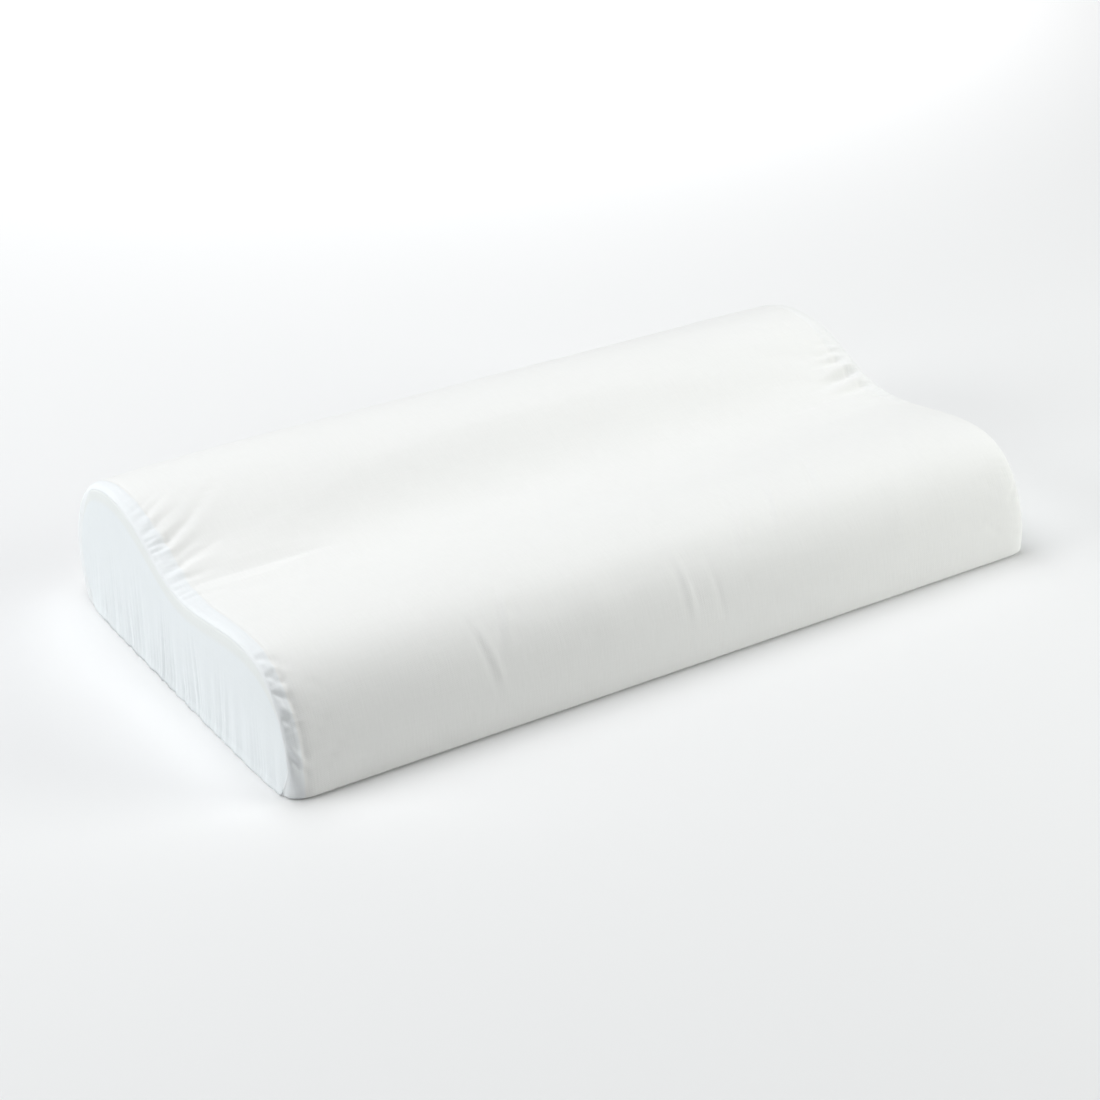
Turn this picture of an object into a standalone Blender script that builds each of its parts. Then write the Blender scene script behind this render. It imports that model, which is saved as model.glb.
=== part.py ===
"""Contour pillow for the neck: a long foam wave in a white cotton cover with two sewn end panels.

Metres, +Z up. X runs along the pillow, Y from the low lobe (-Y) to the high lobe (+Y). The
origin is the middle of the flat underside. The pillow is one wave-shaped section carried along
X. The section is drawn in at the ends, where the wrap panel is sewn to the end panels.
"Around" is a length in metres measured on the wrap panel, from the back foot up over the high
lobe, through the dip, over the low lobe and down to the front foot.
"""

import math
from collections import namedtuple

import bpy
import numpy as np

# Driving sizes
LENGTH = 0.500              # from seam to seam, at the crest of the high lobe
FOOT_FLARE = 0.004          # how far each end leans out between the crest and the floor
CREST_HEIGHT = 0.095        # top of the high lobe

# The wave's outline from the back foot over both lobes to the front foot
Station = namedtuple("Station", "place y z")
WAVE = (
    Station("back foot", 0.1409, 0.0000),
    Station("back bulge", 0.1494, 0.0375),
    Station("back shoulder", 0.1394, 0.0640),
    Station("high lobe, back", 0.0954, 0.0922),
    Station("high lobe, front", 0.0454, 0.0890),
    Station("slope into the dip", -0.0036, 0.0675),
    Station("dip", -0.0376, 0.0660),
    Station("low lobe, back", -0.0766, 0.0710),
    Station("low lobe, front", -0.1251, 0.0640),
    Station("nose", -0.1471, 0.0275),
    Station("front foot", -0.1496, 0.0000),
)
BACK_FOOT_RADIUS = 0.006
FRONT_FOOT_RADIUS = 0.0025

# How the wrap panel is drawn in towards the seams at the ends
END_ROUND = 0.011           # length of the rounded stretch before each seam
END_INSET = 0.0026          # how far the top and the front are drawn in at the seam
BACK_INSET = 0.0145         # the same at the back, where the foam's corner is rounder
BACK_TURN_FROM = 0.1050     # the inset grows from this y
BACK_TURN_TO = 0.1515       # to this one
END_POWER = 2.0             # the rounding is a quarter of an ellipse, and at the back a fuller
BACK_POWER = 3.0            # quarter of a superellipse of this power
FOOT_CORNER = {-1: 0.0075, 1: 0.0020}    # the foot's corners are drawn in this much further
FOOT_CORNER_HEIGHT = 0.020  # up to this height
CORNER_BACK = 0.001         # how far the ends curve back towards their front and back corners
CORNER_Y = 0.1425
CORNER_POWER = 6
FLOOR_BLEND = 0.030         # below this height the wrap is drawn in level with the floor

# The high lobe's crest sinks towards an end
CrestDrop = namedtuple("CrestDrop", "end drop reach")
CREST_DROPS = (CrestDrop(-1, 0.0030, 0.120), CrestDrop(1, 0.0002, 0.040))
CREST_DROP_FROM = -0.0035   # the sinking grows from this y
CREST_DROP_TO = 0.0565      # to this one

# The seam: a narrow lip of the wrap panel, with the end panel let in behind it
LIP_WIDTH = 0.0012
PANEL_THICKNESS = 0.0020
GAP = 0.0004                # between pieces that touch
PANEL_RIM_DROP = 0.0006     # the end panel's rim lies this far under its face
PANEL_CROWN = 0.0012        # how far the end panel swells out of its seam
CROWN_POWER = 0.35          # how quickly it swells behind the rim

# Folds that run in from the seams, where the wrap panel is gathered. "out" is how far the fold
# stands out of the cloth; a trough has a minus sign. "near" and "far" are its places around.
Fold = namedtuple("Fold", "end near far reach half_width out")
FOLDS = (
    Fold(-1, 0.184, 0.160, 0.036, 0.0055, -0.0007),
    Fold(-1, 0.193, 0.172, 0.048, 0.0055, 0.0007),
    Fold(-1, 0.204, 0.168, 0.054, 0.0055, -0.0017),
    Fold(-1, 0.208, 0.188, 0.058, 0.0055, 0.0011),
    Fold(-1, 0.217, 0.198, 0.058, 0.0060, -0.0015),
    Fold(-1, 0.229, 0.227, 0.042, 0.0065, -0.0007),
    Fold(1, 0.197, 0.201, 0.034, 0.0060, -0.0008),
    Fold(1, 0.208, 0.220, 0.046, 0.0060, -0.0015),
    Fold(1, 0.217, 0.224, 0.040, 0.0050, 0.0008),
    Fold(1, 0.227, 0.231, 0.040, 0.0060, -0.0012),
)
FOLD_START = 0.012          # a fold is deepest this far from its seam

# Creases across the front of the low lobe, each from its upper to its lower end
Crease = namedtuple("Crease", "x_upper x_lower upper lower half_width out")
CREASES = (
    Crease(-0.136, -0.126, 0.352, 0.410, 0.0085, -0.0010),
    Crease(-0.100, -0.119, 0.326, 0.382, 0.0085, 0.0008),
    Crease(-0.003, -0.001, 0.358, 0.408, 0.0085, -0.0009),
    Crease(0.068, 0.036, 0.308, 0.376, 0.0085, -0.0010),
    Crease(0.097, 0.063, 0.306, 0.380, 0.0085, -0.0011),
    Crease(0.138, 0.100, 0.292, 0.356, 0.0090, -0.0009),
    Crease(0.222, 0.184, 0.284, 0.356, 0.0110, 0.0009),
)

# Gathers of the end panels, which fade out above the floor
GATHER_PITCH = 0.0150
GATHER_SWAY = 0.0040        # how far the gathers stray from an even pitch
GATHER_SWAY_PITCH = 0.0730
GATHER_DEPTH = 0.0005
GATHER_HEIGHT = 0.6         # share of the panel's height that they reach

# Steps of the meshes
SLOPE_FROM = 0.150          # the stretch around that holds the folds has smaller steps
SLOPE_TO = 0.245
BACK_STEPS = 15
SLOPE_STEPS = 24
FRONT_STEPS = 20
FOOT_STEPS = 3
UNDER_STEPS = 5
ROUND_STEPS = 5
FOLD_ZONE = 0.062           # the stretch behind each seam that holds the folds
FOLD_STEPS = 8
MIDDLE_STEPS = 30
PANEL_ROWS = 8              # steps of the end panel's back and front edges
CURVE_POINTS = 2000         # points on the curve that lengths are measured on
SHARP_ANGLE = math.radians(40)

# Finishes
WRAP_COLOUR = (0.93, 0.935, 0.93, 1.0)
PANEL_COLOUR = (0.90, 0.925, 0.94, 1.0)
COTTON_ROUGHNESS = 0.9


def smooth(share):
    """Ease from 0 to 1 as share goes from 0 to 1, level at both ends."""
    share = np.clip(share, 0.0, 1.0)
    return share * share * (3.0 - 2.0 * share)


def natural_spline(knots, values, at):
    """Natural cubic spline through the values at the knots, read at the places at."""
    h = np.diff(knots)
    n = len(knots)
    system = np.eye(n)
    rises = np.zeros((n, values.shape[1]))
    for i in range(1, n - 1):
        system[i, i - 1:i + 2] = h[i - 1], 2.0 * (h[i - 1] + h[i]), h[i]
        rises[i] = 6.0 * ((values[i + 1] - values[i]) / h[i] - (values[i] - values[i - 1]) / h[i - 1])
    bend = np.linalg.solve(system, rises)
    i = np.clip(np.searchsorted(knots, at) - 1, 0, n - 2)
    width = h[i][:, None]
    left = (knots[i + 1] - at)[:, None] / width
    right = (at - knots[i])[:, None] / width
    sag = ((left ** 3 - left) * bend[i] + (right ** 3 - right) * bend[i + 1]) * width ** 2 / 6.0
    return left * values[i] + right * values[i + 1] + sag


def wave_curve():
    """The wave as a fine curve: lengths around, (y, z) points and inward normals."""
    stations = np.array([(s.y, s.z) for s in WAVE])
    chords = np.linalg.norm(np.diff(stations, axis=0), axis=1)
    knots = np.concatenate([[0.0], np.cumsum(chords)])
    points = natural_spline(knots, stations, np.linspace(0.0, knots[-1], CURVE_POINTS))
    steps = np.linalg.norm(np.diff(points, axis=0), axis=1)
    around = np.concatenate([[0.0], np.cumsum(steps)])
    tangent = np.gradient(points, around, axis=0)
    tangent /= np.linalg.norm(tangent, axis=1)[:, None]
    inward = np.stack([-tangent[:, 1], tangent[:, 0]], axis=1)
    return around, points, inward


CURVE = wave_curve()


def foot_places(rising_around, rising_height, radius):
    """Places around of a rounded foot's points, from the floor up to the top of its arc."""
    turn = np.linspace(0.0, math.pi / 2, FOOT_STEPS + 1)
    return np.interp(radius * (1.0 - np.cos(turn)), rising_height, rising_around)


def wrap_places():
    """Places around of the wrap panel's mesh points, closest together on the slope."""
    around, points, _ = CURVE
    wall = CURVE_POINTS // 8
    back = foot_places(around[:wall], points[:wall, 1], BACK_FOOT_RADIUS)
    front = foot_places(around[:-wall:-1], points[:-wall:-1, 1], FRONT_FOOT_RADIUS)[::-1]
    spans = (
        back[:-1],
        np.linspace(back[-1], SLOPE_FROM, BACK_STEPS + 1)[:-1],
        np.linspace(SLOPE_FROM, SLOPE_TO, SLOPE_STEPS + 1)[:-1],
        np.linspace(SLOPE_TO, front[0], FRONT_STEPS + 1)[:-1],
        front,
    )
    return np.concatenate(spans)


def outline(side, places, turn, outward=0.0, lift=0.0):
    """(y, z) of the wave at places around, near the end on the given side.

    turn is the angle through the end's rounding, from 0 where it starts to a right angle at the
    seam. outward pushes the cloth out of the wave, and lift raises its lowest edge off the floor.
    """
    around, points, inward = CURVE
    y, z = (np.interp(places, around, points[:, k]) for k in (0, 1))
    in_y, in_z = (np.interp(places, around, inward[:, k]) for k in (0, 1))
    off_floor = smooth(z / FLOOR_BLEND)
    back_share = smooth((y - BACK_TURN_FROM) / (BACK_TURN_TO - BACK_TURN_FROM))
    seam_inset = END_INSET + (BACK_INSET - END_INSET) * back_share
    seam_inset = seam_inset + FOOT_CORNER[side] * (1.0 - smooth(z / FOOT_CORNER_HEIGHT))
    power = END_POWER + (BACK_POWER - END_POWER) * back_share
    inset = seam_inset * (1.0 - (1.0 - math.sin(turn) ** power) ** (1.0 / power)) - outward
    radius = np.where(y > 0.0, BACK_FOOT_RADIUS, FRONT_FOOT_RADIUS)
    low = np.clip(radius - z, 0.0, radius)
    tuck = radius - np.sqrt(radius ** 2 - low ** 2)
    new_y = y + inset * in_y - np.sign(y) * tuck
    new_z = z + inset * in_z * off_floor + lift * (1.0 - off_floor)
    return np.stack([new_y, new_z], axis=1)


def lean(z):
    """How far an end leans out at height z."""
    return FOOT_FLARE * (1.0 - z / CREST_HEIGHT)


def corner_back(y):
    """How far an end curves back at y."""
    return CORNER_BACK * np.minimum(np.abs(y) / CORNER_Y, 1.0) ** CORNER_POWER


def crest_drop(x, places):
    """How far the high lobe has sunk at length x, per place around."""
    around, points, _ = CURVE
    y = np.interp(places, around, points[:, 0])
    on_lobe = smooth((y - CREST_DROP_FROM) / (CREST_DROP_TO - CREST_DROP_FROM))
    drop = np.zeros_like(places)
    for end in CREST_DROPS:
        share = np.clip(1.0 - (LENGTH / 2 - end.end * x) / end.reach, 0.0, 1.0)
        drop += end.drop * share ** 2 * on_lobe
    return drop


def fold_relief(x, places):
    """How far the folds at the ends lift the cloth at length x, per place around."""
    relief = np.zeros_like(places)
    for fold in FOLDS:
        depth = LENGTH / 2 - fold.end * x
        if not 0.0 < depth < fold.reach:
            continue
        share = depth / fold.reach
        centre = fold.near + (fold.far - fold.near) * share
        fade = (depth - FOLD_START) / (fold.reach - FOLD_START)
        strength = smooth(depth / FOLD_START) * (1.0 - smooth(fade))
        relief += fold.out * strength * np.exp(-((places - centre) / fold.half_width) ** 2)
    return relief


def crease_relief(x, places):
    """How far the creases on the low lobe lift the cloth at length x, per place around."""
    relief = np.zeros_like(places)
    for crease in CREASES:
        share = (places - crease.upper) / (crease.lower - crease.upper)
        centre = crease.x_upper + (crease.x_lower - crease.x_upper) * share
        strength = np.clip(4.0 * share * (1.0 - share), 0.0, 1.0) ** 2
        relief += crease.out * strength * np.exp(-((x - centre) / crease.half_width) ** 2)
    return relief


def ring(x, turn, places, extra_inset=0.0, lift=0.0, setback=0.0):
    """Closed ring of points round the body at length x, on the side that x's sign gives."""
    outward = fold_relief(x, places) + crease_relief(x, places) - crest_drop(x, places) - extra_inset
    side = int(math.copysign(1, x))
    wrap = outline(side, places, turn, outward, lift)
    under_y = np.linspace(wrap[-1, 0], wrap[0, 0], UNDER_STEPS + 1)[1:-1]
    under = np.stack([under_y, np.full_like(under_y, lift)], axis=1)
    yz = np.concatenate([wrap, under])
    reach = lean(yz[:, 1]) - corner_back(yz[:, 0]) * (setback == 0.0)
    along = side * (abs(x) + reach * math.sin(turn) - setback)
    return np.column_stack([along, yz])


def middle_lengths():
    """Lengths of the sections between the fold zones, twice as close where a crease runs."""
    edge = LENGTH / 2 - FOLD_ZONE
    even = np.linspace(-edge, edge, MIDDLE_STEPS + 1)
    step = even[1] - even[0]
    between = even[:-1] + step / 2
    reach = [(min(c.x_upper, c.x_lower) - step, max(c.x_upper, c.x_lower) + step) for c in CREASES]
    kept = [x for x in between if any(low < x < high for low, high in reach)]
    return np.sort(np.concatenate([even, kept]))


def end_rings(side, places):
    """Rings from the fold zone out to the seam, over the lip and down into the panel's recess."""
    half = LENGTH / 2
    straight = np.linspace(half - FOLD_ZONE, half - END_ROUND, FOLD_STEPS + 1)[1:]
    rings = [ring(side * x, 0.0, places) for x in straight]
    for turn in np.linspace(0.0, math.pi / 2, ROUND_STEPS + 1)[1:]:
        rings.append(ring(side * (half - END_ROUND + END_ROUND * math.sin(turn)), turn, places))
    recess = CORNER_BACK + PANEL_THICKNESS + GAP
    rings.append(ring(side * half, math.pi / 2, places, LIP_WIDTH, LIP_WIDTH))
    rings.append(ring(side * half, math.pi / 2, places, LIP_WIDTH, LIP_WIDTH, recess))
    return rings


def grid_faces(rows, columns, closed):
    """Quads of a grid of points, row by row; closed joins the last column to the first."""
    spans = columns if closed else columns - 1
    i, j = np.meshgrid(np.arange(rows - 1), np.arange(spans), indexing="ij")
    k = (j + 1) % columns
    quads = np.stack([i * columns + j, i * columns + k, (i + 1) * columns + k, (i + 1) * columns + j], axis=-1)
    return quads.reshape(-1, 4).tolist()


def make_object(name, points, faces, material):
    """A smooth-shaded object of one mesh."""
    mesh = bpy.data.meshes.new(name)
    mesh.from_pydata(points.tolist(), [], faces)
    mesh.validate()
    mesh.shade_smooth()
    mesh.set_sharp_from_angle(angle=SHARP_ANGLE)
    mesh.materials.append(material)
    made = bpy.data.objects.new(name, mesh)
    bpy.context.scene.collection.objects.link(made)
    return made


def cotton(name, colour):
    """Plain white cotton of the cover."""
    material = bpy.data.materials.new(name)
    material.use_nodes = True
    shader = material.node_tree.nodes["Principled BSDF"]
    shader.inputs["Base Color"].default_value = colour
    shader.inputs["Roughness"].default_value = COTTON_ROUGHNESS
    shader.inputs["Metallic"].default_value = 0.0
    return material


def make_body(material):
    """The filled pillow in its wrap panel, from one end panel's recess to the other's."""
    places = wrap_places()
    left = end_rings(-1, places)[::-1]
    middle = [ring(x, 0.0, places) for x in middle_lengths()]
    right = end_rings(1, places)
    rings = left + middle + right
    count = len(rings[0])
    faces = grid_faces(len(rings), count, closed=True)
    last = (len(rings) - 1) * count
    faces.append(list(range(count))[::-1])
    faces.append([last + j for j in range(count)])
    return make_object("pillow_body", np.concatenate(rings), faces, material)


def panel_places():
    """Places around of the end panel's back, front and top edges: the wrap's, without its feet."""
    places = wrap_places()
    wall = places[FOOT_STEPS:-FOOT_STEPS].copy()
    wall[0] = places[0]
    wall[-1] = places[-1]
    return wall[:PANEL_ROWS + 1], wall[:-PANEL_ROWS - 2:-1], wall[PANEL_ROWS:-PANEL_ROWS]


def panel_edges(side):
    """The end panel's four edges in (y, z): bottom, top, back and front, each from low or back."""
    inset = LIP_WIDTH + GAP
    end = side * LENGTH / 2
    back, front, top = (
        outline(side, span, math.pi / 2, -crest_drop(end, span) - inset, inset)
        for span in panel_places()
    )
    bottom_y = np.linspace(back[0, 0], front[0, 0], len(top))
    bottom = np.column_stack([bottom_y, np.full_like(bottom_y, inset)])
    return bottom, top, back, front


def panel_grid(side):
    """(y, z) of the end panel's face, blended between its four edges, with both shares."""
    bottom, top, back, front = panel_edges(side)
    p = np.linspace(0.0, 1.0, len(top))[:, None, None]
    q = np.linspace(0.0, 1.0, PANEL_ROWS + 1)[None, :, None]
    between_low_high = bottom[:, None] * (1 - q) + top[:, None] * q
    between_sides = back[None] * (1 - p) + front[None] * p
    low_corners = back[0] * (1 - p) + front[0] * p
    high_corners = back[-1] * (1 - p) + front[-1] * p
    corners = low_corners * (1 - q) + high_corners * q
    return between_low_high + between_sides - corners, p[..., 0], q[..., 0]


def gathers(y, q):
    """How far the end panel's upright gathers lift its face."""
    sway = GATHER_SWAY * np.sin(2 * math.pi * y / GATHER_SWAY_PITCH)
    wave = np.cos(2 * math.pi * (y + sway) / GATHER_PITCH)
    return GATHER_DEPTH * wave * (1.0 - smooth(q / GATHER_HEIGHT))


def make_end_panel(name, side, material):
    """One end panel: a swelling face with gathers, a thin rim and a flat back."""
    yz, p, q = panel_grid(side)
    edge_share = 16.0 * p * (1 - p) * q * (1 - q)
    swell = np.clip(edge_share, 0.0, 1.0) ** CROWN_POWER
    rim_face = CORNER_BACK - corner_back(yz[..., 0]) + PANEL_THICKNESS - PANEL_RIM_DROP
    face = rim_face + (PANEL_CROWN + gathers(yz[..., 0], q)) * swell
    back_x = LENGTH / 2 + lean(yz[..., 1]) - CORNER_BACK - PANEL_THICKNESS
    front = np.stack([side * (back_x + face), yz[..., 0], yz[..., 1]], axis=-1)
    rows, columns = front.shape[:2]
    number = np.arange(rows * columns).reshape(rows, columns)
    rim = np.concatenate([number[:-1, 0], number[-1, :-1], number[:0:-1, -1], number[0, :0:-1]])
    behind = np.stack([side * back_x, yz[..., 0], yz[..., 1]], axis=-1).reshape(-1, 3)[rim]
    hidden = rows * columns + np.arange(len(rim))
    wall = np.stack([rim, np.roll(rim, -1), np.roll(hidden, -1), hidden], axis=-1)
    faces = grid_faces(rows, columns, closed=False) + wall.tolist() + [hidden.tolist()]
    if side < 0:
        faces = [face_points[::-1] for face_points in faces]
    return make_object(name, np.concatenate([front.reshape(-1, 3), behind]), faces, material)


def build_pillow():
    """The whole pillow: the body in its wrap panel and the two end panels."""
    for item in list(bpy.data.objects):
        bpy.data.objects.remove(item, do_unlink=True)
    make_body(cotton("wrap cotton", WRAP_COLOUR))
    end_cotton = cotton("end panel cotton", PANEL_COLOUR)
    make_end_panel("end_panel_left", -1, end_cotton)
    make_end_panel("end_panel_right", 1, end_cotton)


build_pillow()
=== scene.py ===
"""Contour pillow for the neck: a foam wave in a white cotton cover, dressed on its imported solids.

Metres, +Z up. X runs along the pillow and Y from the low lobe to the high lobe. The underside
lies on the floor. "Place" is a length measured on the wrap panel round a section, from the back
foot over the high lobe, the dip and the low lobe to the front foot. "Depth" is a length measured
on the wrap panel from the nearer end seam.
"""

import logging
import math
from dataclasses import dataclass, field
from enum import Enum

import bpy
import numpy as np
from bpy.types import Material, Node, NodeSocket, NodeTree, Object, ShaderNodeTree
from mathutils import Matrix, Vector


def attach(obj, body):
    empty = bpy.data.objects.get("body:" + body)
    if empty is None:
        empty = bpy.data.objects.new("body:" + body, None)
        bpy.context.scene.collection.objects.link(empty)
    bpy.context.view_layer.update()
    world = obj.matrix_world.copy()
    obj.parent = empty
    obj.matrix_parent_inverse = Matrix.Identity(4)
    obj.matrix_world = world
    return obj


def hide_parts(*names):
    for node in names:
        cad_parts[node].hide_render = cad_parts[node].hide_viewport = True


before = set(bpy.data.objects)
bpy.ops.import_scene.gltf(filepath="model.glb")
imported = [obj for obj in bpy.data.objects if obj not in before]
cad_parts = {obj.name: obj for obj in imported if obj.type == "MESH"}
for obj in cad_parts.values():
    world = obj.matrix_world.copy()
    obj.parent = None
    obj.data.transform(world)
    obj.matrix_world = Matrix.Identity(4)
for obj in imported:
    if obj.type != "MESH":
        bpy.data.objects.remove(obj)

Array = np.ndarray
Triple = tuple[float, float, float]
Pairs = tuple[tuple[float, float], ...]
Settings = tuple[tuple[str, object], ...]
LOG = logging.getLogger("pillow")
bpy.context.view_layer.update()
RIGHT_ANGLE = math.pi / 2


class End(Enum):
    """The pillow's two ends, by the sign of their X."""

    LEFT = -1
    RIGHT = 1


def smooth(share: Array) -> Array:
    """Ease from 0 to 1 with share: 3 s squared less 2 s cubed, level at both ends."""
    share = np.clip(share, 0.0, 1.0)
    return share * share * (3.0 - 2.0 * share)


def hump(value: Array, centre: Array | float, half_width: float) -> Array:
    """Bell of height 1 about centre: e to the minus square of the distance over half_width."""
    return np.exp(-((value - centre) / half_width) ** 2)


def metres(row: tuple[float, ...]) -> tuple[float, ...]:
    """Millimetres as metres, to a tenth of a micrometre."""
    return tuple(round(0.001 * value, 7) for value in row)


def ripple(value: Array, pitch: float, phase: Array | float = 0.0) -> Array:
    """Sine wave of the given pitch, moved on by the phase in radians."""
    return np.sin(2 * math.pi * value / pitch + phase)


def natural_spline(knots: Array, values: Array, at: Array) -> Array:
    """Natural cubic spline.

    Args:
        knots: Rising parameter values, one per given point.
        values: The given points, one row each.
        at: Parameter values to read.

    Returns:
        One row per value of at, on the cubic with no bend at its ends.
    """
    h = np.diff(knots)
    n = len(knots)
    inner = np.arange(1, n - 1)
    system = np.eye(n)
    system[inner, inner - 1] = h[:-1]
    system[inner, inner] = 2.0 * (h[:-1] + h[1:])
    system[inner, inner + 1] = h[1:]
    slopes = np.diff(values, axis=0) / h[:, None]
    rises = np.zeros_like(values)
    rises[1:-1] = 6.0 * np.diff(slopes, axis=0)
    bend = np.linalg.solve(system, rises)
    i = np.clip(np.searchsorted(knots, at) - 1, 0, n - 2)
    width = h[i][:, None]
    left = (knots[i + 1] - at)[:, None] / width
    right = (at - knots[i])[:, None] / width
    sag = ((left ** 3 - left) * bend[i] + (right ** 3 - right) * bend[i + 1]) * width ** 2 / 6.0
    return left * values[i] + right * values[i + 1] + sag


def read_grid(grid: Array, rows: Array, columns: Array,
              row: Array, column: Array) -> Array:
    """Reads a grid of values between its points, bilinearly.

    Args:
        grid: Values, one row per value of rows and one column per value of columns.
        rows: Rising coordinates of the grid's rows.
        columns: Rising coordinates of the grid's columns.
        row: Row coordinates to read, as a column vector.
        column: Column coordinates to read, as a row vector.

    Returns:
        The grid's value at every pair of row and column.
    """
    r = np.interp(row[:, 0], rows, np.arange(len(rows)))
    c = np.interp(column[0], columns, np.arange(len(columns)))
    r0 = np.minimum(r.astype(int), len(rows) - 2)
    c0 = np.minimum(c.astype(int), len(columns) - 2)
    fr = (r - r0)[:, None]
    fc = (c - c0)[None, :]
    low = grid[r0][:, c0] * (1 - fc) + grid[r0][:, c0 + 1] * fc
    high = grid[r0 + 1][:, c0] * (1 - fc) + grid[r0 + 1][:, c0 + 1] * fc
    return low * (1 - fr) + high * fr


def stepped(spans: Pairs, end: float) -> Array:
    """Rising values in stretches of even steps.

    Args:
        spans: Where each stretch starts, and the step in it.
        end: Where the last stretch ends.

    Returns:
        The values. Each step is shortened a little to fill its stretch.
    """
    starts = [start for start, _ in spans] + [end]
    parts = [
        np.linspace(low, high, math.ceil((high - low) / step), endpoint=False)
        for low, high, step in zip(starts[:-1], starts[1:], (step for _, step in spans))
    ]
    return np.concatenate(parts + [np.array([end])])


@dataclass(frozen=True)
class WaveLine:
    """The pillow's outline in side view: (y, z) stations from the back foot to the front foot."""

    stations: Pairs = (
        (0.1409, 0.0000),  # back foot
        (0.1494, 0.0375),  # back bulge
        (0.1394, 0.0640),  # back shoulder
        (0.0954, 0.0922),  # high lobe, back
        (0.0454, 0.0890),  # high lobe, front
        (-0.0036, 0.0675),  # slope into the dip
        (-0.0376, 0.0660),  # dip
        (-0.0766, 0.0710),  # low lobe, back
        (-0.1251, 0.0640),  # low lobe, front
        (-0.1471, 0.0275),  # nose
        (-0.1496, 0.0000),  # front foot
    )
    back_foot_radius: float = 0.006
    front_foot_radius: float = 0.0025
    floor_blend: float = 0.030  # height over which drawn-in sides and reliefs grow
    samples: int = 4000

    def curve(self) -> tuple[Array, Array, Array]:
        """The spline through the stations.

        Returns:
            Places, (y, z) points, and normals into the foam: the tangents turned by a quarter.
        """
        stations = np.array(self.stations)
        chords = np.linalg.norm(np.diff(stations, axis=0), axis=1)
        knots = np.concatenate([[0.0], np.cumsum(chords)])
        points = natural_spline(knots, stations, np.linspace(0.0, knots[-1], self.samples))
        steps = np.linalg.norm(np.diff(points, axis=0), axis=1)
        places = np.concatenate([[0.0], np.cumsum(steps)])
        tangent = np.gradient(points, places, axis=0)
        tangent /= np.linalg.norm(tangent, axis=1)[:, None]
        inward = np.stack([-tangent[:, 1], tangent[:, 0]], axis=1)
        return places, points, inward

    def length(self) -> float:
        """Length of the wrap panel from the back foot to the front foot."""
        return float(self.curve()[0][-1])

    def read(self, place: Array) -> tuple[Array, Array, Array, Array]:
        """y, z and the two parts of the inward normal at the given places."""
        places, points, inward = self.curve()
        columns = (points[:, 0], points[:, 1], inward[:, 0], inward[:, 1])
        y, z, in_y, in_z = (np.interp(place, places, column) for column in columns)
        return y, z, in_y, in_z

    def off_floor(self, z: Array) -> Array:
        """Share of the full effect at height z: nothing on the floor."""
        return smooth(z / self.floor_blend)

    def foot_tuck(self, y: Array, z: Array) -> Array:
        """How far a foot is rounded in, as a quarter circle of its radius."""
        radius = np.where(y > 0.0, self.back_foot_radius, self.front_foot_radius)
        low = np.clip(radius - z, 0.0, radius)
        return radius - np.sqrt(radius ** 2 - low ** 2)


@dataclass(frozen=True)
class EndTurn:
    """How the wrap panel turns in towards its end seams."""

    half_length: float = 0.250
    round_length: float = 0.011
    inset: float = 0.0026
    back_inset: float = 0.0145
    back_from: float = 0.1050
    back_to: float = 0.1515
    power: float = 2.0
    back_power: float = 3.0
    left_foot_corner: float = 0.0075
    right_foot_corner: float = 0.0020
    foot_corner_height: float = 0.020
    corner_back: float = 0.001
    corner_y: float = 0.1425
    corner_power: float = 6.0
    flare: float = 0.004
    crest_height: float = 0.095

    def back_share(self, y: Array) -> Array:
        """How far the rounding has changed into the back's fuller one."""
        return smooth((y - self.back_from) / (self.back_to - self.back_from))

    def seam_inset(self, side: Array, y: Array, z: Array) -> Array:
        """How far the section is drawn in at the seam: more at the back and at the feet."""
        corner = np.where(side < 0, self.left_foot_corner, self.right_foot_corner)
        foot = corner * (1.0 - smooth(z / self.foot_corner_height))
        return self.inset + (self.back_inset - self.inset) * self.back_share(y) + foot

    def drawn_in(self, turn: Array, y: Array) -> Array:
        """Share of the seam's inset at an angle through the rounding.

        Args:
            turn: Angle of each ring through the rounding, a right angle at the seam.
            y: Place across the pillow.

        Returns:
            A quarter of an ellipse at power 2, and a fuller curve at the back's higher power.
        """
        power = self.power + (self.back_power - self.power) * self.back_share(y)
        return 1.0 - (1.0 - np.sin(turn) ** power) ** (1.0 / power)

    def lean(self, z: Array) -> Array:
        """How far an end leans out at height z: nothing at the crest, the flare at the floor."""
        return self.flare * (1.0 - z / self.crest_height)

    def setback(self, y: Array) -> Array:
        """How far an end curves back towards its front and back corners."""
        return self.corner_back * np.minimum(np.abs(y) / self.corner_y, 1.0) ** self.corner_power

    def depth(self, x: Array, turn: Array) -> Array:
        """Length on the wrap from the nearer seam.

        Args:
            x: Length along the pillow of each ring.
            turn: Angle of each ring through the rounding, a right angle at the seam.

        Returns:
            The arc of the quarter ellipse, and past it the straight rest.
        """
        angles = np.linspace(0.0, RIGHT_ANGLE, 200)
        speed = np.hypot(self.round_length * np.cos(angles), self.inset * np.sin(angles))
        arc = np.concatenate([[0.0], np.cumsum((speed[1:] + speed[:-1]) / 2 * np.diff(angles))])
        straight = np.maximum(self.half_length - self.round_length - np.abs(x), 0.0)
        return arc[-1] - np.interp(turn, angles, arc) + straight


@dataclass(frozen=True)
class Fold:
    """A fold that runs in from an end seam."""

    end: End
    near: float  # place of its line at the seam
    far: float  # place of its line where it ends
    start: float  # depth at which it is full
    reach: float  # depth at which it ends
    half_width: float
    out: float  # height, with a minus sign for a trough


@dataclass(frozen=True)
class Crease:
    """A crease across the front of the low lobe, from its upper to its lower end."""

    x_upper: float
    x_lower: float
    upper: float
    lower: float
    half_width: float
    out: float


@dataclass(frozen=True)
class CrestDrop:
    """How far the high lobe sinks towards one end, and over what length."""

    end: End
    drop: float
    reach: float


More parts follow.
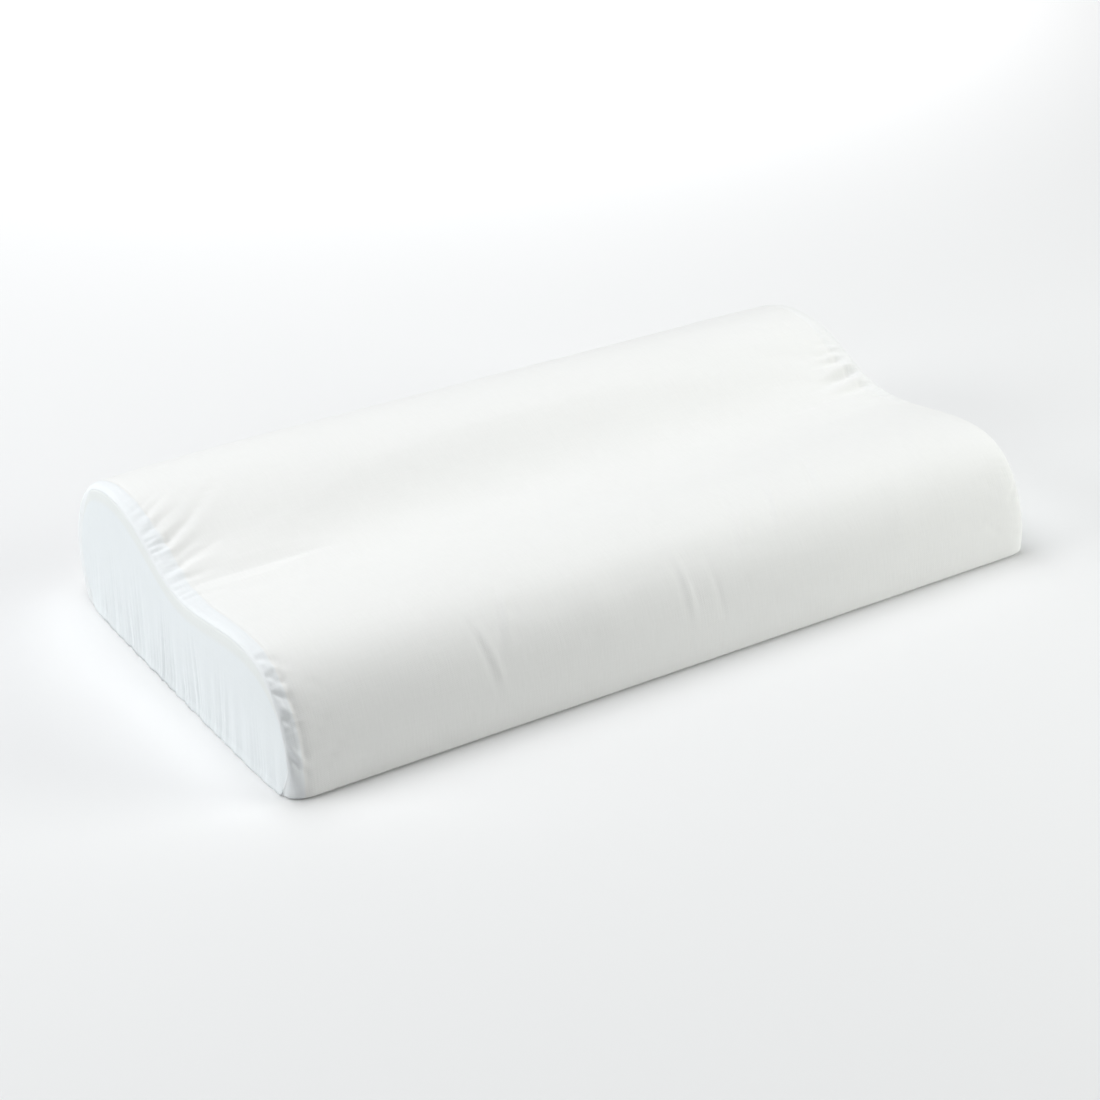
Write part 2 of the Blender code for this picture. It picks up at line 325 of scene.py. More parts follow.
# In millimetres: near, far, start, reach, half_width and out of each fold.
LEFT_FOLDS = (
    (168, 150, 10, 32, 2.6, -0.5), (176, 154, 11, 36, 2.8, -0.7),
    (182, 163, 10, 34, 2.6, 0.4), (187, 166, 11, 40, 2.8, -0.8),
    (194, 176, 12, 46, 3, 0.6), (203, 168, 13, 54, 3.6, -1.6),
    (207, 183, 12, 50, 3, 0.7), (212, 196, 11, 38, 2.6, -0.8),
    (217, 200, 13, 54, 3.4, -1.3), (222, 211, 12, 44, 2.8, 0.6),
    (228, 221, 11, 40, 3, -1), (234, 232, 10, 34, 2.8, -0.6),
    (243, 247, 10, 30, 3, -0.5), (252, 258, 10, 26, 3, -0.4),
    (334, 342, 3, 12, 2.2, -0.8), (340, 352, 4, 16, 2.4, 0.7),
    (347, 360, 3, 14, 2, -0.7), (357, 367, 2, 11, 1.8, -1),
    (364, 376, 3, 12, 2.2, 0.9), (371, 382, 3, 10, 1.8, -0.7),
    (385, 404, 4, 11, 2.2, 1.1), (391, 411, 3, 11, 2, -1),
    (60, 52, 4, 20, 4, -0.6),
)
# The same for the right end.
RIGHT_FOLDS = (
    (184, 181, 9, 28, 2.6, -0.9), (191, 191, 9, 34, 2.8, -1.5),
    (197, 202, 10, 44, 3.2, -2.8), (203, 212, 9, 44, 2.6, 1.4),
    (209, 222, 10, 56, 3.6, -3.4), (216, 229, 10, 50, 3, 1.8),
    (223, 233, 9, 42, 3, -2.4), (230, 237, 9, 36, 2.6, -1.8),
    (238, 242, 9, 30, 2.6, -1), (345, 352, 3, 14, 2.6, -0.6),
    (372, 386, 3, 13, 2.6, -0.6), (66, 58, 4, 20, 4, -0.6),
)
# In millimetres: x_upper, x_lower, upper, lower, half_width and out of each crease.
CREASES = (
    (-136, -126, 342, 404, 1.8, -0.4), (-131, -121, 344, 402, 2, 0.5),
    (-100, -119, 322, 384, 3.2, 0.8), (-105, -123, 326, 380, 2.6, -0.5),
    (-3, -1, 342, 402, 1.6, -0.3), (2, 4, 344, 400, 1.8, 0.5),
    (20, 23, 350, 404, 2, -0.4), (68, 36, 292, 374, 1.8, -0.5),
    (73, 41, 306, 376, 2.6, 0.6), (97, 63, 290, 378, 1.8, -0.5),
    (102, 69, 296, 368, 2, 0.6), (138, 100, 282, 366, 2.2, -0.8),
    (143, 106, 290, 356, 3, 0.5), (222, 184, 284, 356, 7, 1),
    (170, 150, 330, 400, 10, 0.6), (-60, -48, 335, 405, 11, 0.5),
)


@dataclass
class ClothRelief:
    """Everything that lifts or sinks the wrap panel's cloth off the plain wave."""

    turn: EndTurn
    wave: WaveLine
    folds: tuple[Fold, ...] = (
        *(Fold(End.LEFT, *metres(row)) for row in LEFT_FOLDS),
        *(Fold(End.RIGHT, *metres(row)) for row in RIGHT_FOLDS),
    )
    creases: tuple[Crease, ...] = tuple(Crease(*metres(row)) for row in CREASES)
    crest_drops: tuple[CrestDrop, ...] = (
        CrestDrop(End.LEFT, 0.0030, 0.120),
        CrestDrop(End.RIGHT, 0.0002, 0.040),
    )
    crest_from: float = -0.0035
    crest_to: float = 0.0565
    allowance: float = 0.0070  # width of the doubled cloth beside each seam
    allowance_swell: float = 0.0036  # how much wider it is on the slope, where it is gathered
    allowance_lift: float = 0.00060
    groove: float = 0.00045  # groove along the doubled cloth's inner edge
    groove_half_width: float = 0.0011
    slope_place: float = 0.205  # middle of the slope, where the cloth is gathered
    slope_half_width: float = 0.062
    right_allowance: float = 0.1  # what is left of the doubled cloth's step, right of the slope
    right_from: float = 0.24
    right_fade: float = 0.05
    gather_pitch: float = 0.0070
    gather_depth: float = 0.00095
    gather_slant: float = 0.25
    gather_start: float = 0.0020
    gather_full: float = 0.007
    gather_fade: float = 0.008
    wanders: tuple[Triple, ...] = ((0.35, 0.047, 1.0), (0.22, 0.031, 2.0))  # of the gathers
    small_share: float = 0.35  # depth of the small gathers between the others
    small_pitch: float = 0.62
    small_wander: float = 1.7
    plain_gathers: float = 0.14
    slope_gathers: Triple = (0.56, 0.212, 0.040)  # strength, place, half width
    nose_gathers: Triple = (0.30, 0.365, 0.028)
    slack: "SlackField | None" = None

    def crest(self, x: Array, place: Array) -> Array:
        """How far the high lobe sinks: by the square of the nearness to each end."""
        y = self.wave.read(place)[0]
        on_lobe = smooth((y - self.crest_from) / (self.crest_to - self.crest_from))
        drop = 0.0
        for end in self.crest_drops:
            share = np.clip(1.0 - (self.turn.half_length - end.end.value * x) / end.reach, 0.0, 1.0)
            drop = drop + end.drop * share ** 2 * on_lobe
        return drop

    def end_folds(self, x: Array, depth: Array, place: Array) -> Array:
        """Folds from the seams: bells across their lines, full at the start, gone at the reach."""
        relief = np.zeros(np.broadcast_shapes(x.shape, place.shape))
        for fold in self.folds:
            centre = fold.near + (fold.far - fold.near) * depth / fold.reach
            grown = smooth(depth / fold.start)
            faded = 1.0 - smooth((depth - fold.start) / (fold.reach - fold.start))
            here = (np.sign(x) == fold.end.value) * grown * faded
            relief += fold.out * here * hump(place, centre, fold.half_width)
        return relief

    def front_creases(self, x: Array, place: Array) -> Array:
        """Creases on the low lobe: bells across their lines, strongest half way down."""
        relief = np.zeros(np.broadcast_shapes(x.shape, place.shape))
        for crease in self.creases:
            share = (place - crease.upper) / (crease.lower - crease.upper)
            centre = crease.x_upper + (crease.x_lower - crease.x_upper) * share
            strength = np.clip(4.0 * share * (1.0 - share), 0.0, 1.0) ** 2
            relief += crease.out * strength * hump(x, centre, crease.half_width)
        return relief

    def allowance_at(self, place: Array) -> Array:
        """Width of the doubled cloth: the plain width, and more in a bell over the slope."""
        slope = hump(place, self.slope_place, self.slope_half_width)
        return self.allowance + self.allowance_swell * slope

    def seam_gathers(self, x: Array, depth: Array, place: Array) -> Array:
        """Doubled cloth beside the seams with its gathers.

        Args:
            x: Length along the pillow of each ring.
            depth: Length from the nearer seam of each ring.
            place: Places round the section.

        Returns:
            A low step as wide as the allowance, a groove along its inner edge, and narrow
            valleys across it, whose phase wanders.
        """
        side = np.sign(x)
        width = self.allowance_at(place)
        inner = smooth(depth / 0.003) * (1.0 - smooth((depth - width + 0.001) / 0.002))
        on_slope = 1.0 - smooth((place - self.right_from) / self.right_fade)
        right = self.right_allowance + (1.0 - self.right_allowance) * on_slope
        ends = np.where(x < 0, 1.0, right)
        lift = self.allowance_lift * inner * ends
        groove = self.groove * hump(depth, width + 0.0010, self.groove_half_width) * ends
        wander = sum(share * ripple(place, pitch, turns * side)
                     for share, pitch, turns in self.wanders)
        slant = self.gather_slant * depth / width
        valley = np.cos(math.pi * (place / self.gather_pitch + wander + slant)) ** 4
        small_place = place / (self.small_pitch * self.gather_pitch)
        small = np.cos(math.pi * (small_place - self.small_wander * wander)) ** 4
        (slope, *slope_bell), (nose, *nose_bell) = self.slope_gathers, self.nose_gathers
        strength = (self.plain_gathers + slope * hump(place, *slope_bell)
                    + nose * hump(place, *nose_bell) * (x < 0))
        fade = smooth(depth / self.gather_start)
        fade = fade * (1.0 - smooth((depth - self.gather_full) / self.gather_fade))
        sunk = self.gather_depth * strength * fade * (valley + self.small_share * small)
        return lift - groove - sunk

    def outward(self, x: Array, depth: Array, place: Array) -> Array:
        """Sum of all reliefs at each ring and place, in metres out of the wave."""
        total = self.end_folds(x, depth, place) + self.front_creases(x, place)
        total = total + self.seam_gathers(x, depth, place) - self.crest(x, place)
        if self.slack is not None:
            total = total + self.slack.read(x, depth, place)
        return total


@dataclass(frozen=True)
class SlackField:
    """Wrinkles that the cloth simulation left, as lift off the wrap panel."""

    rows: Array
    columns: Array
    lift: Array
    half: float

    def read(self, x: Array, depth: Array, place: Array) -> Array:
        """Lift at each ring and place. A ring is found by its signed length from the middle."""
        along = np.sign(x) * (self.half - depth)
        return read_grid(self.lift, self.rows, self.columns, along, place)


@dataclass(frozen=True)
class Rings:
    """The wrap panel's rings from left to right, each value in a column vector."""

    x: Array
    turn: Array
    inset: Array
    setback: Array


@dataclass
class CoverWrap:
    """The filled pillow in its wrap panel."""

    wave: WaveLine
    turn: EndTurn
    relief: ClothRelief
    bead_radius: float = 0.0007
    recess: float = 0.0040
    near_zone: float = 0.062
    near_step: float = 0.0016
    middle_spans: Pairs = (  # closer rings where creases run
        (-0.188, 0.0040), (-0.143, 0.0017), (-0.093, 0.0040), (-0.009, 0.0017), (0.028, 0.0030),
        (0.034, 0.0017), (0.150, 0.0035),
    )
    place_spans: Pairs = (  # closer columns where it is gathered
        (0.010, 0.0026), (0.150, 0.0010), (0.265, 0.0020), (0.328, 0.0012),
    )
    turn_steps: int = 12
    bead_steps: int = 5
    foot_steps: int = 5
    under_steps: int = 30
    light_band_edge: float = 0.0008  # width over which the painted cool light on the doubled cloth ends
    right_light_band: float = 0.2  # how much of that painted light there is on the right end's slope
    right_light_band_from: float = 0.24
    right_light_band_fade: float = 0.03

    def places(self) -> Array:
        """Places of the mesh columns, close together where it is gathered and over the feet."""
        wave = self.wave
        around, points, _ = wave.curve()
        wall = len(around) // 8
        rise = 1 - np.cos(np.linspace(0.0, RIGHT_ANGLE, self.foot_steps + 1))
        back = np.interp(wave.back_foot_radius * rise, points[:wall, 1], around[:wall])
        front = np.interp(wave.front_foot_radius * rise,
                          points[:-wall:-1, 1], around[:-wall:-1])[::-1]
        return np.concatenate([back, stepped(self.place_spans, front[0]), front[1:]])

    def rings(self) -> Rings:
        """Rings from the left recess over the left bead, along the pillow, to the right recess."""
        half, rounded = self.turn.half_length, self.turn.round_length
        edge = half - self.near_zone
        middle = stepped(self.middle_spans, edge)
        near_steps = int((self.near_zone - rounded) / self.near_step)
        near = np.linspace(edge, half - rounded, near_steps)[1:]
        angle = np.linspace(0.0, RIGHT_ANGLE, self.turn_steps + 1)[1:]
        bead = np.linspace(0.0, math.pi, self.bead_steps + 1)[1:]
        x = np.concatenate([near, half - rounded + rounded * np.sin(angle),
                            np.full(len(bead) + 1, half)])
        turn = np.concatenate([np.zeros(len(near)), angle, np.full(len(bead) + 1, RIGHT_ANGLE)])
        still = len(near) + len(angle)
        inset = np.concatenate([np.zeros(still), self.bead_radius * (1 - np.cos(bead)),
                                [2 * self.bead_radius]])
        setback = np.concatenate([np.zeros(still), -0.5 * self.bead_radius * np.sin(bead),
                                  [self.recess]])
        flat = np.zeros(len(middle))

        def both(outer: Array, inner: Array, sign: float) -> Array:
            return np.concatenate([sign * outer[::-1], inner, outer])[:, None]

        return Rings(both(x, middle, -1.0), both(turn, flat, 1.0),
                     both(inset, flat, 1.0), both(setback, flat, 1.0))

    def surface(self, rings: Rings, place: Array) -> Array:
        """The wrap panel as a surface of two parameters, ring and place.

        Args:
            rings: The rings, as column vectors.
            place: Places round the section, as a row vector.

        Returns:
            Points, ring by ring. Each is the wave's point, moved inward by what is drawn in
            there less the cloth's relief, and outward along x by the end's lean.
        """
        y, z, in_y, in_z = self.wave.read(place)
        off_floor = self.wave.off_floor(z)
        depth = self.turn.depth(rings.x, rings.turn)
        outward = self.relief.outward(rings.x, depth, place) * off_floor ** 0.5
        drawn = self.turn.seam_inset(rings.x, y, z) * self.turn.drawn_in(rings.turn, y)
        inset = drawn + rings.inset - outward
        new_y = y + inset * in_y - np.sign(y) * self.wave.foot_tuck(y, z)
        new_z = z + inset * in_z * off_floor + rings.inset * (1.0 - off_floor)
        flare = self.turn.lean(new_z) - self.turn.setback(new_y)
        reach = flare * np.sin(rings.turn) - rings.setback
        new_x = np.sign(rings.x) * (np.abs(rings.x) + reach)
        return np.stack([new_x, new_y, np.maximum(new_z, 0.0)], axis=-1)

    def closed_rings(self, rings: Rings, place: Array, under: int) -> Array:
        """The surface's rings closed by straight lines of points across the underside."""
        top = self.surface(rings, place[None, :])
        share = np.linspace(0.0, 1.0, under + 1)[None, 1:-1, None]
        below = top[:, -1:] * (1 - share) + top[:, :1] * share
        return np.concatenate([top, below], axis=1)

    def build(self, material: Material) -> Object:
        """Makes the wrap's mesh with its cloth coordinates and closes both recesses."""
        place = self.places()
        rings = self.rings()
        points = self.closed_rings(rings, place, self.under_steps)
        depth = self.turn.depth(rings.x, rings.turn)[:, 0]
        along = np.sign(rings.x[:, 0]) * (self.turn.half_length - depth)
        under = np.linalg.norm(points[0, -1] - points[0, -2]) * np.arange(1, self.under_steps + 1)
        around = np.concatenate([place, place[-1] + under])
        # painted cool light on the doubled cloth beside the seams: full on the left end, a little
        # on the right end's slope
        at = np.concatenate([place, np.full(self.under_steps - 1, place[-1])])
        inside = (self.relief.allowance_at(at) - depth[:, None]) / self.light_band_edge + 0.5
        on_slope = 1.0 - smooth((at - self.right_light_band_from) / self.right_light_band_fade)
        share = np.where(rings.x < 0, 1.0, self.right_light_band * on_slope)
        seam_light_and_shade = np.clip(inside, 0.0, 1.0) * share
        return closed_tube("cover_wrap", points, along, around, seam_light_and_shade, material)


def closed_tube(name: str, points: Array, along: Array, around: Array,
                seam_light_and_shade: Array, material: Material | None) -> Object:
    """Makes a closed mesh of rings with a face over each end.

    Args:
        name: Name of the piece.
        points: Points, ring by ring.
        along: Cloth coordinate of each ring, in metres.
        around: Cloth coordinate of each column, with one more for the join.
        seam_light_and_shade: Mask of painted light and shade beside the seams, 0 to 1 for each
            point.
        material: Its finish, or None.

    Returns:
        The object, smooth shaded, with a UV map in metres of cloth.
    """
    rings, columns = points.shape[:2]
    i, j = np.meshgrid(np.arange(rings - 1), np.arange(columns), indexing="ij")
    k = (j + 1) % columns
    here, beyond = i * columns, (i + 1) * columns
    quads = np.stack([here + j, here + k, beyond + k, beyond + j], -1)
    u = np.stack([along[i], along[i], along[i + 1], along[i + 1]], -1)
    v = np.stack([around[j], around[j + 1], around[j + 1], around[j]], -1)
    last = (rings - 1) * columns
    caps = [list(range(columns))[::-1], [last + c for c in range(columns)]]
    flat = points.reshape(-1, 3)
    cloth = [np.stack([u, v], -1).reshape(-1, 2)] + [flat[cap][:, 1:] for cap in caps]
    faces = quads.reshape(-1, 4).tolist() + caps
    return mesh_piece(name, flat, faces, np.concatenate(cloth), seam_light_and_shade.ravel(), material)


def mesh_piece(name: str, points: Array, faces: list, cloth: Array,
               seam_light_and_shade: Array, material: Material | None) -> Object:
    """Makes a smooth-shaded object with a UV map.

    Args:
        name: Name of the piece.
        points: All points.
        faces: Lists of point numbers.
        cloth: One (u, v) in metres per face corner, in the faces' order.
        seam_light_and_shade: Mask of painted light and shade beside the seams, 0 to 1 for each
            point.
        material: Its finish, or None.

    Returns:
        The object, linked to the scene, at the origin.
    """
    mesh = bpy.data.meshes.new(name)
    mesh.from_pydata(points.tolist(), [], faces)
    layer = mesh.uv_layers.new(name="cloth")
    layer.data.foreach_set("uv", cloth.astype(np.float32).ravel())
    mask = mesh.attributes.new("seam_light_and_shade", "FLOAT", "POINT")
    mask.data.foreach_set("value", seam_light_and_shade.astype(np.float32))
    mesh.shade_smooth()
    if material is not None:
        mesh.materials.append(material)
    made = bpy.data.objects.new(name, mesh)
    bpy.context.scene.collection.objects.link(made)
    return made


@dataclass
class EndPanel:
    """The flat panel sewn over one end of the pillow."""

    end: End
    wave: WaveLine
    turn: EndTurn
    relief: ClothRelief
    inset: float = 0.0008
    thickness: float = 0.0022
    rim_drop: float = -0.0002
    floor_lap: float = 0.0008  # how far it stands over the wrap's edge at the floor
    floor_lap_height: float = 0.006
    shade_band_width: float = 0.0090  # how far the painted shade reaches below the top seam
    shade_band_fade: float = 0.004
    crown: float = 0.0014
    crown_power: float = 0.45
    back_top: float = 0.075
    front_top: float = 0.365
    columns: int = 330
    rows: int = 64
    pleat_pitch: float = 0.0046
    pleat_depth: float = 0.00065
    pleat_height: float = 0.034
    height_swing: float = 0.016
    height_rise: float = 0.014  # how much higher the pleats reach towards the back
    fine_share: float = 0.35
    fine_pitch: float = 1.83
    wave_pitch: float = 0.015
    wave_depth: float = 0.0004
    wave_height: float = 0.055

    def edge(self, place: Array) -> Array:
        """(y, z) of the panel's seam line: the wrap's last ring, drawn in a little more."""
        y, z, in_y, in_z = self.wave.read(place)
        drop = self.relief.crest(np.array(self.end.value * self.turn.half_length), place)
        inset = self.turn.seam_inset(self.end.value, y, z) + drop + self.inset
        new_y = y + inset * in_y - np.sign(y) * self.wave.foot_tuck(y, z)
        return np.stack([new_y, z + inset * in_z * self.wave.off_floor(z)], axis=-1)

    def patch(self) -> tuple[Array, Array, Array]:
        """The panel between its four edges.

        Returns:
            (y, z) on a grid with its two shares p and q: the blend of bottom and top edge plus
            the blend of back and front edge, less the blend of the four corners.
        """
        last = self.wave.length()
        back = self.edge(np.linspace(0.0, self.back_top, self.rows + 1))
        front = self.edge(np.linspace(last, self.front_top, self.rows + 1))
        top = self.edge(np.linspace(self.back_top, self.front_top, self.columns + 1))
        share = np.linspace(0.0, 1.0, self.columns + 1)[:, None]
        bottom = back[0] * (1 - share) + front[0] * share
        p = share[:, None]
        q = np.linspace(0.0, 1.0, self.rows + 1)[None, :, None]
        low_high = bottom[:, None] * (1 - q) + top[:, None] * q
        sides = back[None] * (1 - p) + front[None] * p
        low_corners = back[0] * (1 - p) + front[0] * p
        high_corners = back[-1] * (1 - p) + front[-1] * p
        corners = low_corners * (1 - q) + high_corners * q
        return low_high + sides - corners, p[..., 0], q[..., 0]

    def gathers(self, y: Array, z: Array) -> Array:
        """Relief of the upright gathers.

        Args:
            y: Place along the panel.
            z: Height.

        Returns:
            Narrow upright valleys, deepest low down, whose height and depth wander along the
            panel, on a wider soft wave.
        """
        wander = 0.9 * ripple(y, 0.061, self.end.value) + 0.5 * ripple(y, 0.023)
        lean = 0.6 * ripple(y, 0.09, 0.6) * z / 0.05
        phase = y / self.pleat_pitch + 0.45 * wander + lean
        valley = np.cos(math.pi * phase) ** 4
        fine = np.cos(math.pi * (self.fine_pitch * phase + 0.4 * wander)) ** 2
        height = (self.pleat_height + self.height_swing * ripple(y, 0.037, 1.0)
                  + self.height_rise * smooth((y + 0.02) / 0.08))
        fade = 1.0 - smooth((z - 0.20 * height) / height)
        strength = 0.35 + 0.65 * smooth((y + 0.09) / 0.07) + 0.25 * ripple(y, 0.043)
        wide = np.cos(2 * math.pi * (y + 0.004 * ripple(y, 0.073)) / self.wave_pitch)
        soft = self.wave_depth * wide * (1.0 - smooth(z / self.wave_height))
        return soft - self.pleat_depth * strength * fade * (valley + self.fine_share * fine)

    def build(self, material: Material) -> Object:
        """Makes the panel: its swelling face, a thin rim and a flat back that lies on the foam."""
        yz, p, q = self.patch()
        y, z = yz[..., 0], yz[..., 1]
        open_below = np.minimum(4.0 * (1 - q), 1.0)
        nearness = np.clip(4.0 * p * (1 - p) * open_below, 0.0, 1.0) ** self.crown_power
        seam_x = self.turn.half_length + self.turn.lean(z) - self.turn.setback(y)
        lap = self.floor_lap * (1.0 - smooth(z / self.floor_lap_height))
        x = seam_x - self.rim_drop + lap + (self.crown + self.gathers(y, z)) * nearness
        side = self.end.value
        front = np.stack([side * x, y, z], axis=-1)
        behind = np.stack([side * (seam_x - self.rim_drop - self.thickness), y, z], axis=-1)
        rows, columns = y.shape
        number = np.arange(rows * columns).reshape(rows, columns)
        rim = np.concatenate([number[:-1, 0], number[-1, :-1], number[:0:-1, -1], number[0, :0:-1]])
        hidden = rows * columns + np.arange(len(rim))
        i, j = np.meshgrid(np.arange(rows - 1), np.arange(columns - 1), indexing="ij")
        quads = np.stack([number[i, j], number[i, j + 1],
                          number[i + 1, j + 1], number[i + 1, j]], -1)
        wall = np.stack([rim, np.roll(rim, -1), np.roll(hidden, -1), hidden], axis=-1)
        faces = quads.reshape(-1, 4).tolist() + wall.tolist() + [hidden.tolist()]
        if side < 0:
            faces = [face[::-1] for face in faces]
        points = np.concatenate([front.reshape(-1, 3), behind.reshape(-1, 3)[rim]])
        corners = np.concatenate([np.array(face) for face in faces])
        name = f"end_cover_{self.end.name.lower()}"
        # painted shade in a band below the top seam
        under = z[:, -1:] - z
        seam_light_and_shade = 1.0 - smooth((under - self.shade_band_width + self.shade_band_fade) / self.shade_band_fade)
        masks = np.concatenate([seam_light_and_shade.ravel(), seam_light_and_shade.ravel()[rim]])
        return mesh_piece(name, points, faces, points[corners][:, 1:], masks, material)


@dataclass
class ClothSimulation:
    """A run of the wrap's cloth, too long for its seams, over the pressed foam."""

    wrap: CoverWrap
    ring_step: float = 0.0050
    place_step: float = 0.0050
    under_steps: int = 40
    frames: int = 20
    pressure: float = 4.0
    ease: float = 0.07  # how much longer the cloth is than the seam that holds it
    ease_reach: float = 0.022
    movement: float = 0.006
    wrinkle_limit: float = 0.0010
    gain: float = 0.9
    blur_passes: int = 24
    held_height: float = 0.002  # cloth lower than this stays still
    held_depth: float = 0.0005  # and so does cloth nearer to a seam than this
    seam_fade: float = 0.004
    floor_fade: float = 0.02
    cloth: Settings = (
        ("quality", 6), ("mass", 0.15), ("tension_stiffness", 12.0),
        ("compression_stiffness", 12.0), ("shear_stiffness", 4.0), ("bending_stiffness", 0.08),
        ("use_pressure", True), ("vertex_group_mass", "held"), ("vertex_group_shrink", "ease"),
        ("shrink_min", 0.0),
    )

    def rings(self) -> Rings:
        """Plain rings for the run, from seam to seam."""
        turn = self.wrap.turn
        edge = turn.half_length - turn.round_length
        straight = np.linspace(-edge, edge, int(2 * edge / self.ring_step))
        angle = np.linspace(0.0, RIGHT_ANGLE, 5)[1:]
        x = edge + turn.round_length * np.sin(angle)
        zero = np.zeros((len(straight) + 2 * len(angle), 1))
        turns = np.concatenate([angle[::-1], np.zeros(len(straight)), angle])[:, None]
        return Rings(np.concatenate([-x[::-1], straight, x])[:, None], turns, zero, zero)

    def blur(self, grid: Array) -> Array:
        """Averages each value with its neighbours along rows and columns, again and again."""
        for _ in range(self.blur_passes):
            for axis in (0, 1):
                pad = [(1, 1) if a == axis else (0, 0) for a in (0, 1)]
                wide = np.pad(grid, pad, mode="edge")
                low, high = np.split(wide, [-2], axis)[0], np.split(wide, [2], axis)[1]
                grid = (low + grid + high) / 3.0
        return grid

    def groups(self, shell: Object, held: Array, ease: Array) -> None:
        """Writes the points that stay still, and how much spare length each point's cloth has."""
        for name, weights in (("held", held.astype(float)), ("ease", ease)):
            group = shell.vertex_groups.new(name=name)
            levels = np.round(weights.ravel(), 1)
            for level in np.unique(levels[levels > 0]):
                group.add(np.nonzero(levels == level)[0].tolist(), float(level), "REPLACE")

    def run(self) -> SlackField:
        """Runs the cloth and keeps its short wrinkles.

        Returns:
            The lift of each point along its normal, less the same lift blurred, within the
            wrinkle limit, and nothing at the seams and the floor.
        """
        wrap = self.wrap
        length = wrap.wave.length()
        place = np.linspace(0.0, length, int(length / self.place_step))
        rings = self.rings()
        points = wrap.closed_rings(rings, place, self.under_steps)
        depth = wrap.turn.depth(rings.x, rings.turn)
        columns = np.arange(points.shape[1] + 1.0)
        seam_light_and_shade = np.zeros(points.shape[:2])
        shell = closed_tube("cloth_run", points, depth[:, 0], columns, seam_light_and_shade, None)
        held = (points[..., 2] < self.held_height) | (depth < self.held_depth)
        ease = np.broadcast_to(hump(depth, 0.0, self.ease_reach), held.shape)
        self.groups(shell, held, ease)
        normals = np.zeros(points.size, np.float32)
        shell.data.vertex_normals.foreach_get("vector", normals)
        cloth = shell.modifiers.new("cloth", "CLOTH")
        settings = cloth.settings
        for name, value in self.cloth:
            setattr(settings, name, value)
        settings.uniform_pressure_force = self.pressure
        settings.shrink_max = -self.ease
        settings.effector_weights.gravity = 0.0
        cloth.point_cache.frame_start = 1
        cloth.point_cache.frame_end = self.frames
        scene = bpy.context.scene
        for number in range(1, self.frames + 1):
            scene.frame_set(number)
        evaluated = shell.evaluated_get(bpy.context.evaluated_depsgraph_get())
        moved = np.zeros(points.size, np.float32)
        evaluated.data.vertices.foreach_get("co", moved)
        scene.frame_set(1)
        bpy.data.objects.remove(shell)
        shift = (moved.reshape(-1, 3) - points.reshape(-1, 3)) * normals.reshape(-1, 3)
        lift = shift.sum(axis=1).reshape(points.shape[:2])[:, :len(place)]
        lift = np.clip(lift, -self.movement, self.movement)
        wrinkles = self.gain * (lift - self.blur(lift))
        height = points[0, :len(place), 2]
        fade = smooth(depth / self.seam_fade) * smooth(height / self.floor_fade)
        wrinkles = self.wrinkle_limit * np.tanh(wrinkles / self.wrinkle_limit) * fade
        LOG.info("cloth run: wrinkles within %.2f mm", np.abs(wrinkles).max() * 1000)
        half = wrap.turn.half_length
        along = np.sign(rings.x[:, 0]) * (half - depth[:, 0])
        return SlackField(along, place, wrinkles, half)


class NodeBoard:
    """A node tree with short ways to add and join its nodes."""

    def __init__(self, tree: NodeTree) -> None:
        """Keeps the tree."""
        self.tree = tree

    def add(self, kind: str, settings: dict | None = None,
            inputs: dict | None = None) -> Node:
        """Adds a node.

        Args:
            kind: Blender's name of the node type.
            settings: Properties to set on it.
            inputs: Input name or number to a value, or to an output socket to join.

        Returns:
            The node.
        """
        node = self.tree.nodes.new(kind)
        for name, value in (settings or {}).items():
            setattr(node, name, value)
        for name, value in (inputs or {}).items():
            if isinstance(value, NodeSocket):
                self.tree.links.new(value, node.inputs[name])
            else:
                node.inputs[name].default_value = value
        return node

    def math(self, operation: str, first: object, second: object = 0.0) -> NodeSocket:
        """Adds a Math node and gives its output."""
        inputs = {0: first, 1: second}
        return self.add("ShaderNodeMath", {"operation": operation}, inputs).outputs[0]


